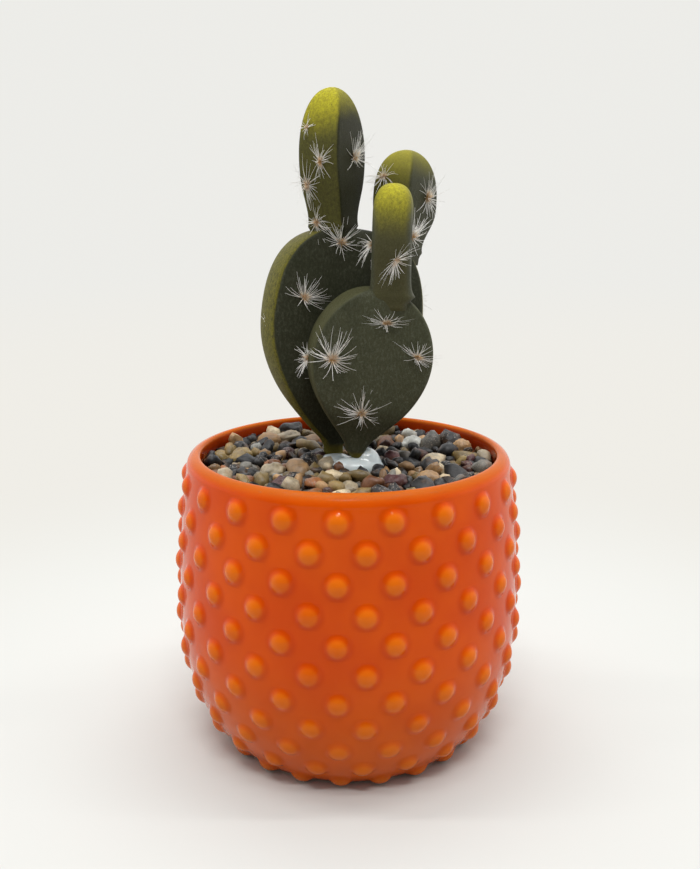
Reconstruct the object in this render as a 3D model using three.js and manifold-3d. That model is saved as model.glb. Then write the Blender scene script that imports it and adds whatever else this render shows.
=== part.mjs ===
// Potted prickly pear: a hobnailed glazed pot packed with foam, topped with gravel, and two stacks
// of moulded cactus pads set in a puddle of glue. Millimetres, +Z up, origin under the pot's centre.
import * as THREE from 'three';
import { mergeVertices } from 'three/addons/utils/BufferGeometryUtils.js';
import Module from 'manifold-3d';

const wasm = await Module();
wasm.setup();

const GAP = 0.3; // air left between two pieces that touch
const UP = new THREE.Vector3(0, 0, 1);

// ---------------------------------------------------------------- driving dimensions

const POT = {
  height: 101,
  bellyRadius: 58.1, // the widest ring of the wall, between the hobnails
  bellyHeight: 46,
  upperArc: 360, // radius of the gentle curve from the belly up to the lip
  footCurve: { across: 29.5, down: 50.5 }, // half axes of the ellipse from the belly down to the base
  wall: 5,
  floor: 6,
  lipDrop: 4,
  lipInner: 49.7,
  widening: 0.12, // how much the inside widens for each millimetre below the lip
  lipEdge: 1, // how far the lip's inner edge is rounded off
  segments: 40,
};

// Each hobnail is a blunt cone with its base sunk in the wall; the cone's own sizes are shares of
// the hobnail's radius and height.
const HOBNAIL = {
  perRing: 21,
  rings: 10,
  firstBelowTop: 8.1,
  pitch: 9.4,
  radius: 3.7,
  height: 1.75,
  turn: -3.3,
  cone: { radius: 1.2, height: 1.9, lift: 0.15, sides: 6 },
};

// The small stones' widths, smallest and largest, and how far they stand up, are given in millimetres.
const GRAVEL = {
  top: 94,
  bottom: 86,
  stones: 30,
  smallest: 4.65,
  largest: 7.75,
  narrowness: 0.8,
  flatness: 0.35,
  rise: 0.4,
  edgeRoom: 8.1,
};
const FOAM = { top: 85.7, bottom: 6.5 };

// The glue's overlapping domes: middle and half sizes.
const GLUE = [
  { at: [3.4, -4.6, 95.4], half: [9.4, 5.6, 4.0] },
  { at: [-4.4, 2.4, 95.2], half: [6.4, 6.4, 3.2] },
  { at: [6.0, -3.4, 95.8], half: [5.2, 4.8, 6.4] },
];

const STEM = { bottom: 58, top: 107 };
const PEG = { radius: 2, length: 7, inside: 4 };

// Each pad: where its foot stands, how it is turned about the vertical, tipped towards the front
// and leaned to the right (degrees), its outline (taper and crown say how full its lower and upper
// curves are), its thickness, at the root too, where it fills out, and how deep its rim rounds over.
const PADS = {
  rear_pad: {
    foot: [-5.2, 6.8, 102], turn: 24, tip: -2, lean: 6,
    width: 54.4, height: 72.2, widest: 40.5, neck: 3.5, taper: [0.03, 0.43], crown: 0.69,
    thick: 13.4, root: 3.0, fills: 20, rim: 5, stem: [-5.4, 6.5], stemRadius: 3.2,
  },
  tall_upper_pad: {
    foot: [-5.0, 9.4, 174.4], turn: 66, tip: 0, lean: -1,
    width: 22.6, height: 43.6, widest: 22, neck: 6.6, taper: [0.3, 0.6], crown: 0.46,
    thick: 13.8, root: 6.0, fills: 16, rim: 19, growsFrom: 'rear_pad',
  },
  rear_right_upper_pad: {
    foot: [18.6, 18, 165.4], turn: 62, tip: 0, lean: 5,
    width: 24, height: 33.8, widest: 17, neck: 5.4, taper: [0.25, 0.55], crown: 0.56,
    thick: 13.4, root: 4.6, fills: 14, rim: 15, growsFrom: 'rear_pad',
  },
  front_pad: {
    foot: [2.2, -4.1, 102], turn: 11, tip: 4, lean: 8,
    width: 39.8, height: 54.6, widest: 31.5, neck: 3.0, taper: [0.14, 0.48], crown: 0.53,
    thick: 12, root: 2.8, fills: 17, rim: 5, stem: [5.6, -3.5], stemRadius: 2.7,
  },
  front_upper_pad: {
    foot: [13.4, -7.6, 153.2], turn: 84, tip: 1.5, lean: 0,
    width: 18, height: 35, widest: 20, neck: 5.0, taper: [0.3, 0.6], crown: 0.6,
    thick: 11.7, root: 6.0, fills: 14, rim: 9, growsFrom: 'front_pad',
  },
};

const PAD_ROUND = 2; // rounding between a pad's flat face and its rim
const RIM_CROWN = 0.68; // how blunt a pad's top is from the side: 0.55 would make it elliptical
const ROOT_CURVE = [0.5, 0.6]; // how the side outline swells from the root to where it fills out
const PAD_STEPS = 6; // points on each quarter of a pad's outline

// Spine tufts: which pad, place on the pad across and up, and which side they stand on.
const TUFTS = [
  ['rear_pad', -6, 67, 'front'],
  ['rear_pad', -17.5, 48.5, 'front'],
  ['rear_pad', 7, 66, 'front'],
  ['rear_pad', -7, 24, 'front'],
  ['rear_pad', 0, 40, 'left'],
  ['rear_pad', 0, 50, 'right'],
  ['rear_pad', 12, 58, 'back'],
  ['rear_pad', -10, 50, 'back'],
  ['rear_pad', 3, 26, 'back'],
  ['tall_upper_pad', 1, 22, 'front'],
  ['tall_upper_pad', 1.2, 20.5, 'left'],
  ['tall_upper_pad', -4.2, 13.5, 'left'],
  ['tall_upper_pad', -2, 15, 'back'],
  ['tall_upper_pad', 3, 29, 'back'],
  ['tall_upper_pad', -2.6, 1.5, 'left'],
  ['tall_upper_pad', -4.2, 31, 'left'],
  ['rear_right_upper_pad', 2, 18.5, 'front'],
  ['rear_right_upper_pad', -2, 22, 'back'],
  ['rear_right_upper_pad', -3, 24, 'left'],
  ['front_pad', -13.6, 31, 'front'],
  ['front_pad', 2, 44.5, 'front'],
  ['front_pad', 14, 34.5, 'front'],
  ['front_pad', -1.2, 14, 'front'],
  ['front_pad', 0, 29, 'left'],
  ['front_pad', 8, 36, 'back'],
  ['front_pad', -4, 20, 'back'],
  ['front_upper_pad', 2, 12, 'left'],
  ['front_upper_pad', -1, 19, 'front'],
  ['front_upper_pad', 1, 16, 'back'],
];
const TUFT = {
  bristles: 5,
  bristle: 6,
  bristleRadius: 0.28,
  cushionRadius: 1.3,
  cushionHeight: 0.8,
  unevenness: 0.6, // how far a bristle strays round the tuft, as a share of one step
  lowestLift: 22, // degrees between the flattest bristle and the skin
  moreLift: 40,
};

// How finely the round shapes are stepped.
const STEPS = { outerWall: 9, lip: 3, innerWall: 6, foam: 6, gravel: 2, outline: 24 };

// Large stones lying on the gravel: place, half sizes and turn about the vertical (degrees).
const STONES = [
  { at: [-25, -13.5, 96.8], half: [4.6, 3.4, 2.4], turn: 20 },
  { at: [-22.5, 29, 97.6], half: [5.0, 3.4, 2.1], turn: 5 },
  { at: [-22.0, 38, 98.2], half: [4.8, 3.2, 3.2], turn: -10 },
  { at: [-13.5, -3.0, 97.0], half: [3.6, 3.0, 2.9], turn: 35 },
  { at: [-20.6, -27, 96.4], half: [4.0, 3.0, 2.4], turn: 40 },
  { at: [14.6, -24.3, 96.4], half: [4.2, 3.2, 2.5], turn: -20 },
  { at: [40.5, 16, 97.0], half: [3.4, 3.2, 3.0], turn: 0 },
  { at: [25.2, -22.1, 96.4], half: [3.9, 3.3, 2.7], turn: 30 },
  { at: [22.5, 19.5, 97.0], half: [4.2, 3.4, 3.2], turn: 60 },
  { at: [-37.0, 5.0, 96.8], half: [4.4, 3.4, 2.8], turn: 50 },
];

// ---------------------------------------------------------------- small tools

// Repeatable random numbers between 0 and 1.
function dice(seed) {
  let state = seed;
  return () => {
    state = (state * 1664525 + 1013904223) % 4294967296;
    return state / 4294967296;
  };
}

// A closed geometry as a manifold solid, so that it can be joined and cut.
function solid(geometry) {
  const bare = geometry.index ? geometry.toNonIndexed() : geometry.clone();
  bare.deleteAttribute('normal');
  bare.deleteAttribute('uv');
  const merged = mergeVertices(bare, 1e-4);
  return new wasm.Manifold(new wasm.Mesh({
    numProp: 3,
    vertProperties: new Float32Array(merged.attributes.position.array),
    triVerts: new Uint32Array(merged.index.array),
  }));
}

function joined(solids) {
  return solids.reduce((all, one) => all.add(one));
}

function cut(body, tools) {
  return tools.reduce((left, tool) => left.subtract(tool), body);
}

// A named mesh with its own material, from a solid.
function piece(name, body, { colour, roughness }) {
  const mesh = body.getMesh();
  const geometry = new THREE.BufferGeometry();
  geometry.setAttribute('position', new THREE.BufferAttribute(new Float32Array(mesh.vertProperties), 3));
  geometry.setIndex(new THREE.BufferAttribute(new Uint32Array(mesh.triVerts), 1));
  geometry.computeVertexNormals();
  const material = new THREE.MeshStandardMaterial({ color: colour, roughness, metalness: 0 });
  const node = new THREE.Mesh(geometry, material);
  node.name = name;
  return node;
}

// A lathe about +Z from a profile of [radius, height] points that starts and ends on the axis.
function lathe(profile, segments) {
  const points = profile.map(([radius, height]) => new THREE.Vector2(radius, height));
  return new THREE.LatheGeometry(points, segments).rotateX(Math.PI / 2);
}

// An upright cylinder between two heights.
function post(radius, bottom, top, sides = 12) {
  const geometry = new THREE.CylinderGeometry(radius, radius, top - bottom, sides);
  return geometry.rotateX(Math.PI / 2).translate(0, 0, (top + bottom) / 2);
}

// A square block just under the plane z = 0, to cut off what reaches below it.
function blockBelow(width) {
  return new THREE.BoxGeometry(width, width, width / 2).translate(0, 0, -width / 4);
}

// ---------------------------------------------------------------- the pot

// Radius of the bare wall at a height.
function wallRadius(z) {
  const d = z - POT.bellyHeight;
  if (d > 0) {
    return POT.bellyRadius - POT.upperArc + Math.sqrt(POT.upperArc ** 2 - d * d);
  }
  const { across, down } = POT.footCurve;
  return POT.bellyRadius - across * (1 - Math.sqrt(1 - (d / down) ** 2));
}

// The outside of the wall from the base to the lip, in steps along the height.
function outerWall(steps) {
  const top = POT.height - POT.lipDrop;
  return Array.from({ length: steps + 1 }, (_, i) => {
    const z = top * (1 - Math.cos((Math.PI / 2) * (i / steps)));
    return [wallRadius(z), z];
  });
}

function innerRadius(z) {
  const lipSide = POT.lipInner + (POT.height - z) * POT.widening;
  return Math.min(wallRadius(z) - POT.wall, lipSide);
}

// The inside of the pot, from the lip's inner edge down to the edge of the floor.
function innerWall(steps) {
  const top = POT.height - POT.lipEdge;
  return Array.from({ length: steps + 1 }, (_, i) => {
    const z = top + ((POT.floor - top) * i) / steps;
    return [innerRadius(z), z];
  });
}

function lip(steps) {
  const outer = wallRadius(POT.height - POT.lipDrop);
  const across = outer - POT.lipInner - POT.lipEdge;
  return Array.from({ length: steps }, (_, i) => {
    const a = (Math.PI / 2) * ((i + 1) / steps);
    return [outer - across * (1 - Math.cos(a)), POT.height - POT.lipDrop * (1 - Math.sin(a))];
  });
}

// Points at equal steps down the wall: where each ring of hobnails sits, and the wall's slope there.
function hobnailRings() {
  const rings = [];
  let z = POT.height - HOBNAIL.firstBelowTop;
  for (let ring = 0; ring < HOBNAIL.rings; ring += 1) {
    const slope = (wallRadius(z + 0.01) - wallRadius(z - 0.01)) / 0.02;
    rings.push({ z, radius: wallRadius(z), tilt: Math.atan(-slope) });
    z -= HOBNAIL.pitch / Math.sqrt(1 + slope * slope);
  }
  return rings;
}

function hobnails() {
  const found = [];
  const shape = HOBNAIL.cone;
  const step = (2 * Math.PI) / HOBNAIL.perRing;
  hobnailRings().forEach((ring, row) => {
    for (let i = 0; i < HOBNAIL.perRing; i += 1) {
      const angle = -Math.PI / 2 + THREE.MathUtils.degToRad(HOBNAIL.turn) + step * (i + (row % 2) / 2);
      const cone = new THREE.ConeGeometry(shape.radius, shape.height, shape.sides);
      cone.translate(0, shape.lift, 0);
      cone.rotateX(Math.PI / 2).scale(HOBNAIL.radius, HOBNAIL.radius, HOBNAIL.height);
      cone.rotateY(Math.PI / 2 - ring.tilt);
      cone.translate(ring.radius, 0, ring.z);
      cone.rotateZ(angle);
      found.push(solid(cone));
    }
  });
  return found;
}

function pot() {
  const wall = [...outerWall(STEPS.outerWall), ...lip(STEPS.lip), ...innerWall(STEPS.innerWall)];
  const bare = lathe([[0, 0], ...wall, [0, POT.floor]], POT.segments);
  return joined([solid(bare), ...hobnails()]).subtract(solid(blockBelow(4 * POT.bellyRadius)));
}

// ---------------------------------------------------------------- the pads

// A pad from the front: a taper from its neck to its widest place, and a crown above it.
function frontOutline({ width, height, widest, neck, taper, crown }) {
  const half = width / 2;
  const [low, high] = taper.map((share) => share * widest);
  const shoulder = widest + crown * (height - widest);
  const shape = new THREE.Shape();
  shape.moveTo(-neck, 0);
  shape.lineTo(neck, 0);
  shape.bezierCurveTo(neck, low, half, high, half, widest);
  shape.bezierCurveTo(half, shoulder, crown * half, height, 0, height);
  shape.bezierCurveTo(-crown * half, height, -half, shoulder, -half, widest);
  shape.bezierCurveTo(-half, high, -neck, low, -neck, 0);
  return shape;
}

// A pad from the side: it thickens above its root and rounds over at the crown.
function sideOutline({ thick, height, root, fills, rim }) {
  const half = thick / 2;
  const shoulder = height - rim;
  const round = shoulder + rim * RIM_CROWN;
  const [low, high] = ROOT_CURVE.map((share) => share * fills);
  const shape = new THREE.Shape();
  shape.moveTo(-root, 0);
  shape.lineTo(root, 0);
  shape.bezierCurveTo(root, low, half, high, half, fills);
  shape.lineTo(half, shoulder);
  shape.bezierCurveTo(half, round, half * RIM_CROWN, height, 0, height);
  shape.bezierCurveTo(-half * RIM_CROWN, height, -half, round, -half, shoulder);
  shape.lineTo(-half, fills);
  shape.bezierCurveTo(-half, high, -root, low, -root, 0);
  return shape;
}

// From a pad's own frame (X across, Y up, Z towards its front face) to the part's frame.
function padFrame({ foot, turn, tip, lean }) {
  const frame = new THREE.Matrix4().makeTranslation(...foot);
  frame.multiply(new THREE.Matrix4().makeRotationZ(THREE.MathUtils.degToRad(turn)));
  frame.multiply(new THREE.Matrix4().makeRotationX(THREE.MathUtils.degToRad(90 + tip)));
  frame.multiply(new THREE.Matrix4().makeRotationZ(THREE.MathUtils.degToRad(-lean)));
  return frame;
}

function padBody(pad) {
  const front = new THREE.ExtrudeGeometry(frontOutline(pad), {
    depth: pad.thick - 2 * PAD_ROUND,
    curveSegments: PAD_STEPS,
    bevelThickness: PAD_ROUND,
    bevelSize: PAD_ROUND,
    bevelOffset: -PAD_ROUND,
    bevelSegments: 1,
  });
  front.translate(0, 0, PAD_ROUND - pad.thick / 2);
  const side = new THREE.ExtrudeGeometry(sideOutline(pad), {
    depth: pad.width + 2,
    curveSegments: PAD_STEPS,
    bevelEnabled: false,
  });
  side.translate(0, 0, -pad.width / 2 - 1).rotateY(Math.PI / 2);
  const frame = padFrame(pad);
  return solid(front.applyMatrix4(frame)).intersect(solid(side.applyMatrix4(frame)));
}

// The peg that plugs an upper pad into the one below it.
function peg(pad, extra = 0) {
  const upright = post(PEG.radius + extra, -PEG.length - extra, PEG.inside).rotateX(-Math.PI / 2);
  return solid(upright.applyMatrix4(padFrame(pad)));
}

// The stem that runs from a lower pad through the gravel into the foam.
function stem(pad, extra = 0) {
  const [x, y] = pad.stem;
  return solid(post(pad.stemRadius + extra, STEM.bottom - extra, STEM.top).translate(x, y, 0));
}

// The same solid pushed out by about the gap, to cut room for it in a neighbour.
function grown(body, centre, by = GAP) {
  const box = body.boundingBox();
  const scale = [0, 1, 2].map((k) => 1 + (2 * by) / (box.max[k] - box.min[k]));
  const away = centre.map((value) => -value);
  return body.translate(away).scale(scale).translate(centre);
}

function middle(body) {
  const box = body.boundingBox();
  return [0, 1, 2].map((k) => (box.max[k] + box.min[k]) / 2);
}

// All five pads: each upper pad is trimmed clear of the pad it grows from, which gets its socket.
function pads() {
  const whole = {};
  Object.entries(PADS).forEach(([name, pad]) => {
    whole[name] = pad.stem ? padBody(pad).add(stem(pad)) : padBody(pad);
  });
  Object.entries(PADS).forEach(([name, pad]) => {
    if (pad.growsFrom) {
      const below = whole[pad.growsFrom];
      whole[name] = whole[name].subtract(grown(below, middle(below))).add(peg(pad));
      whole[pad.growsFrom] = below.subtract(peg(pad, GAP));
    }
  });
  return whole;
}

// ---------------------------------------------------------------- the spine tufts

// Half of a pad's width at a height above its foot, from its front outline.
function halfWidth(pad, height) {
  const points = frontOutline(pad).getPoints(STEPS.outline).filter((p) => p.x >= 0);
  const at = points.findIndex((p) => p.y >= height && p.y > 0);
  const [low, high] = [points[at - 1], points[at]];
  return low.x + ((high.x - low.x) * (height - low.y)) / (high.y - low.y);
}

// Where a tuft stands, in its pad's frame, and the way it faces.
function tuftPlace(pad, across, up, side) {
  const face = pad.thick / 2 + GAP;
  if (side === 'front' || side === 'back') {
    const facing = side === 'front' ? 1 : -1;
    return { at: new THREE.Vector3(across, up, face * facing), way: new THREE.Vector3(0, 0, facing) };
  }
  const facing = side === 'right' ? 1 : -1;
  const edge = (height) => facing * (halfWidth(pad, height) + GAP);
  const slope = edge(up + 1) - edge(up - 1);
  const way = new THREE.Vector3(2 * facing, -slope * facing, 0).normalize();
  return { at: new THREE.Vector3(edge(up), up, across), way };
}

// One bristle, pointing along a direction from the tuft's middle.
function bristle(direction) {
  const length = TUFT.bristle;
  const cone = new THREE.ConeGeometry(TUFT.bristleRadius, length, 3).translate(0, length / 2, 0);
  const turn = new THREE.Quaternion().setFromUnitVectors(new THREE.Vector3(0, 1, 0), direction);
  return cone.applyQuaternion(turn).translate(0, 0, TUFT.cushionHeight / 2);
}

// A woolly cushion with bristles fanned round it, leaving out any that would touch a neighbour.
function tuft([padName, across, up, side], index, neighbours) {
  const { at, way } = tuftPlace(PADS[padName], across, up, side);
  const roll = dice(index + 7);
  const place = padFrame(PADS[padName]);
  place.multiply(new THREE.Matrix4().makeTranslation(at.x, at.y, at.z));
  place.multiply(new THREE.Matrix4().makeRotationFromQuaternion(
    new THREE.Quaternion().setFromUnitVectors(UP, way),
  ));
  const cushion = new THREE.SphereGeometry(1, 5, 4).rotateX(Math.PI / 2);
  cushion.scale(TUFT.cushionRadius, TUFT.cushionRadius, TUFT.cushionHeight);
  const underside = blockBelow(4 * TUFT.bristle);
  let body = solid(cushion.applyMatrix4(place));
  for (let i = 0; i < TUFT.bristles; i += 1) {
    const around = (2 * Math.PI * (i + TUFT.unevenness * roll())) / TUFT.bristles;
    const lift = THREE.MathUtils.degToRad(TUFT.lowestLift + TUFT.moreLift * roll());
    const direction = new THREE.Vector3(
      Math.cos(around) * Math.cos(lift),
      Math.sin(around) * Math.cos(lift),
      Math.sin(lift),
    );
    const one = solid(bristle(direction).applyMatrix4(place));
    const free = neighbours.every((other) => one.intersect(other).isEmpty());
    body = free ? body.add(one) : body;
  }
  return cut(body, [solid(underside.applyMatrix4(place)), ...neighbours]);
}

// ---------------------------------------------------------------- glue, gravel and foam

// A puddle that climbs the two stems: low overlapping domes.
function gluePuddle(extra = 0) {
  return joined(GLUE.map(({ at, half }) => {
    const dome = new THREE.SphereGeometry(1, 9, 5).rotateX(Math.PI / 2);
    dome.scale(half[0] + extra, half[1] + extra, half[2] + extra);
    return solid(dome.translate(...at));
  }));
}

// A rounded stone with flats, from a coarse ball.
function stone({ at, half, turn }, extra = 0, detail = 1) {
  const ball = new THREE.IcosahedronGeometry(1, detail);
  ball.scale(half[0] + extra, half[1] + extra, half[2] + extra);
  ball.rotateZ(THREE.MathUtils.degToRad(turn));
  return solid(ball.translate(...at));
}

// Small stones spread evenly over the bed by the sunflower rule.
function bedStones() {
  const roll = dice(11);
  const reach = innerRadius(GRAVEL.top) - GRAVEL.edgeRoom - GAP;
  return Array.from({ length: GRAVEL.stones }, (_, i) => {
    const r = reach * Math.sqrt((i + 0.5) / GRAVEL.stones);
    const a = i * Math.PI * (3 - Math.sqrt(5));
    const size = GRAVEL.smallest + (GRAVEL.largest - GRAVEL.smallest) * roll();
    return stone({
      at: [r * Math.cos(a), r * Math.sin(a), GRAVEL.top + GRAVEL.rise * roll()],
      half: [size, size * GRAVEL.narrowness, size * GRAVEL.flatness],
      turn: 360 * roll(),
    }, 0, 0);
  });
}

// The inside of the pot between two heights, kept a gap clear of the wall.
function fill(bottom, top, steps) {
  const profile = [[0, top]];
  for (let i = 0; i <= steps; i += 1) {
    const z = top + ((bottom - top) * i) / steps;
    profile.push([innerRadius(z) - 2 * GAP, z]);
  }
  return solid(lathe([...profile, [0, bottom]].reverse(), POT.segments));
}

function gravelBed(keepClear) {
  return cut(joined([fill(GRAVEL.bottom, GRAVEL.top, STEPS.gravel), ...bedStones()]), keepClear);
}

function foamCore(keepClear) {
  return cut(fill(FOAM.bottom, FOAM.top, STEPS.foam), keepClear);
}

// ---------------------------------------------------------------- the whole object

const LOOK = {
  glaze: { colour: '#d2521c', roughness: 0.15 },
  foam: { colour: '#7f9a6b', roughness: 0.9 },
  gravel: { colour: '#7d7466', roughness: 0.7 },
  stone: { colour: '#b9a27c', roughness: 0.6 },
  glue: { colour: '#d7dfe2', roughness: 0.2 },
  pad: { colour: '#4c5138', roughness: 0.75 },
  tip: { colour: '#6d7430', roughness: 0.75 },
  spine: { colour: '#e8dcc2', roughness: 0.6 },
};

const group = new THREE.Group();
const padSolids = pads();
const padList = Object.values(padSolids);
const stemRoom = Object.values(PADS).filter((pad) => pad.stem).map((pad) => stem(pad, GAP));
const stoneRoom = STONES.map((one) => stone(one, GAP));
const bedRoom = [gluePuddle(GAP), ...stemRoom, ...stoneRoom];

group.add(piece('pot', pot(), LOOK.glaze));
group.add(piece('foam_core', foamCore(stemRoom), LOOK.foam));
group.add(piece('gravel_bed', gravelBed(bedRoom), LOOK.gravel));
group.add(piece('glue_puddle', cut(gluePuddle(), [...stemRoom, ...stoneRoom]), LOOK.glue));
STONES.forEach((one, i) => {
  group.add(piece(`large_stone_${i + 1}`, stone(one), LOOK.stone));
});
Object.entries(padSolids).forEach(([name, body]) => {
  group.add(piece(name, body, PADS[name].growsFrom ? LOOK.tip : LOOK.pad));
});
TUFTS.forEach((one, i) => {
  const count = TUFTS.slice(0, i + 1).filter(([name]) => name === one[0]).length;
  group.add(piece(`${one[0]}_tuft_${count}`, tuft(one, i, padList), LOOK.spine));
});

export default group;
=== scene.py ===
import math

import bpy
import numpy as np
from mathutils import Euler, Matrix, Vector


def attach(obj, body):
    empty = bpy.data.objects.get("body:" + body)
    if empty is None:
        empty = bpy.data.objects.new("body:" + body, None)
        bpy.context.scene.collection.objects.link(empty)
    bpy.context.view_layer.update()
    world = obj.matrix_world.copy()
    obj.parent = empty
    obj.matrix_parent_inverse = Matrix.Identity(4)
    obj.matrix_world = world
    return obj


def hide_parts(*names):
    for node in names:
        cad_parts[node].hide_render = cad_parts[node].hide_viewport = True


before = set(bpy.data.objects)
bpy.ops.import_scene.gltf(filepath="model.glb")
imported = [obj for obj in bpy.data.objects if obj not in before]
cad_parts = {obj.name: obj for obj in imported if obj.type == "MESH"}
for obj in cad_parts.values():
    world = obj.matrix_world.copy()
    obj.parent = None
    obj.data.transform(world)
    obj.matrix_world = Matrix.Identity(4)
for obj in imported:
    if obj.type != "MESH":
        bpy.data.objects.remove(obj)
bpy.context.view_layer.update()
scene = bpy.context.scene
collection = scene.collection
mm = 0.001  # the CAD sizes below are in millimetres, and Blender works in metres


# ------------------------------------------------------------------ the pot
# One slip-cast earthenware pot with rings of raised dots, each ring half a step round from the next.
# A glossy orange glaze covers it: it runs thin over the dots and the lip, and gathers round each dot's
# foot. The foot ring underneath is wiped clean, so bare fired clay shows there.

def put(tree, kind, inputs=None, **options):
    """Adds a node with its options. An input given as a socket is linked, and any other is set."""
    node = tree.nodes.new(kind)
    for name, value in options.items():
        setattr(node, name, value)
    for key, value in (inputs or {}).items():
        if isinstance(value, bpy.types.NodeSocket):
            tree.links.new(value, node.inputs[key])
        else:
            node.inputs[key].default_value = value
    return node


def calc(tree, operation, *values):
    """One step of arithmetic in a node tree, as its output socket."""
    return put(tree, "ShaderNodeMath", dict(enumerate(values)), operation=operation).outputs[0]


def times(tree, first, second):
    """Two numbers multiplied, as an output socket."""
    return calc(tree, "MULTIPLY", first, second)


def vector(tree, operation, first, second):
    """One step of arithmetic on two vectors, or on a vector and its scale, as its output socket."""
    other = "Scale" if operation == "SCALE" else 1
    return put(tree, "ShaderNodeVectorMath", {0: first, other: second}, operation=operation).outputs[0]


def xyz_of(tree, place):
    """The three parts of a vector, as output sockets."""
    return put(tree, "ShaderNodeSeparateXYZ", {0: place}).outputs


def place_on(tree):
    """Where a point is on its object."""
    return put(tree, "ShaderNodeTexCoord").outputs["Object"]


def carried(tree, name):
    """A value that the mesh carries under a name, for a material."""
    return put(tree, "ShaderNodeAttribute", attribute_name=name).outputs["Fac"]


def stored(tree, name, kind="FLOAT"):
    """A value that the mesh carries under a name, for a geometry tree."""
    return put(tree, "GeometryNodeInputNamedAttribute", {"Name": name}, data_type=kind).outputs[0]


def store(tree, geometry, name, value, kind="FLOAT"):
    """Makes the geometry carry a value under a name at its points."""
    return put(tree, "GeometryNodeStoreNamedAttribute", {"Geometry": geometry, "Name": name, "Value": value},
               data_type=kind, domain="POINT").outputs[0]


def new_tree(name, sockets):
    """A geometry tree with named inputs and one output: sockets is a list of (name, socket type)."""
    tree = bpy.data.node_groups.new(name, "GeometryNodeTree")
    for label, kind in [("Geometry", "Geometry"), *sockets, ("Material", "Material")]:
        tree.interface.new_socket(name=label, in_out="INPUT", socket_type="NodeSocket" + kind)
    tree.interface.new_socket(name="Geometry", in_out="OUTPUT", socket_type="NodeSocketGeometry")
    return tree, tree.nodes.new("NodeGroupInput").outputs


def close_tree(tree, geometry, given):
    """Ends a geometry tree: the instances are made real and the material is put on."""
    real = put(tree, "GeometryNodeRealizeInstances", {"Geometry": geometry})
    smooth = put(tree, "GeometryNodeSetShadeSmooth", {"Geometry": real.outputs[0]})
    coat = put(tree, "GeometryNodeSetMaterial", {
        "Geometry": smooth.outputs[0], "Material": given["Material"]})
    put(tree, "NodeGroupOutput", {0: coat.outputs[0]})


def shaped(name, mesh, tree, **values):
    """Runs a geometry tree on a mesh with the inputs given, and keeps the result as a plain mesh."""
    made = bpy.data.objects.new(name, mesh)
    collection.objects.link(made)
    modifier = made.modifiers.new("shape", "NODES")
    modifier.node_group = tree
    for item in tree.interface.items_tree:
        key = item.name.lower().replace(" ", "_")
        if item.in_out == "INPUT" and key in values:
            modifier[item.identifier] = values[key]
    graph = bpy.context.evaluated_depsgraph_get()
    result = bpy.data.meshes.new_from_object(
        made.evaluated_get(graph), preserve_all_data_layers=True, depsgraph=graph)
    made.modifiers.remove(modifier)
    made.data = result
    return made


def finish_piece(piece, slot, *nodes):
    """Fixes a piece to the CAD body and hides the CAD nodes that it stands for; slot, the finish, is not
    used.
    """
    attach(piece, "root")
    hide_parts(*nodes)


def noise(tree, place, scale, detail=2.0, roughness=0.5):
    """Smooth noise at so many bumps to the metre."""
    return put(tree, "ShaderNodeTexNoise", {
        "Vector": place, "Scale": scale, "Detail": detail, "Roughness": roughness}).outputs["Fac"]


def ramp(tree, value, low, high, out_low=0.0, out_high=1.0):
    """A soft step: out_low where value is under low, out_high where it is over high."""
    return put(tree, "ShaderNodeMapRange", {
        "Value": value, "From Min": low, "From Max": high, "To Min": out_low, "To Max": out_high},
        interpolation_type="SMOOTHSTEP").outputs[0]


def blend(tree, amount, first, second):
    """Two colours mixed by an amount from 0 to 1."""
    return put(tree, "ShaderNodeMix", {0: amount, 6: first, 7: second}, data_type="RGBA").outputs[2]


def stretched(tree, place, scale):
    """The same places with each axis scaled, for a pattern that runs one way."""
    return put(tree, "ShaderNodeMapping", {"Vector": place, "Scale": scale}).outputs[0]


def new_material(name):
    """An empty material with its shader and output: returns the material, its tree and the shader."""
    material = bpy.data.materials.new(name)
    material.use_nodes = True
    tree = material.node_tree
    tree.nodes.clear()
    shader = tree.nodes.new("ShaderNodeBsdfPrincipled")
    put(tree, "ShaderNodeOutputMaterial", {"Surface": shader.outputs[0]})
    return material, tree, shader


def relief(tree, shader, height, strength, depth):
    """Fine relief on a material's surface, from a height."""
    bump = put(tree, "ShaderNodeBump", {"Height": height, "Strength": strength, "Distance": depth})
    tree.links.new(bump.outputs[0], shader.inputs["Normal"])


def wall_radius(z):
    """How far the outside of the bare wall is from the pot's middle, at a height."""
    belly, belly_height = 58.1, 46
    upper_arc, foot_across, foot_down = 360, 29.5, 50.5
    d = z - belly_height
    if d > 0:
        return belly - upper_arc + math.sqrt(upper_arc ** 2 - d * d)
    return belly - foot_across * (1 - math.sqrt(1 - (d / foot_down) ** 2))


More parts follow.
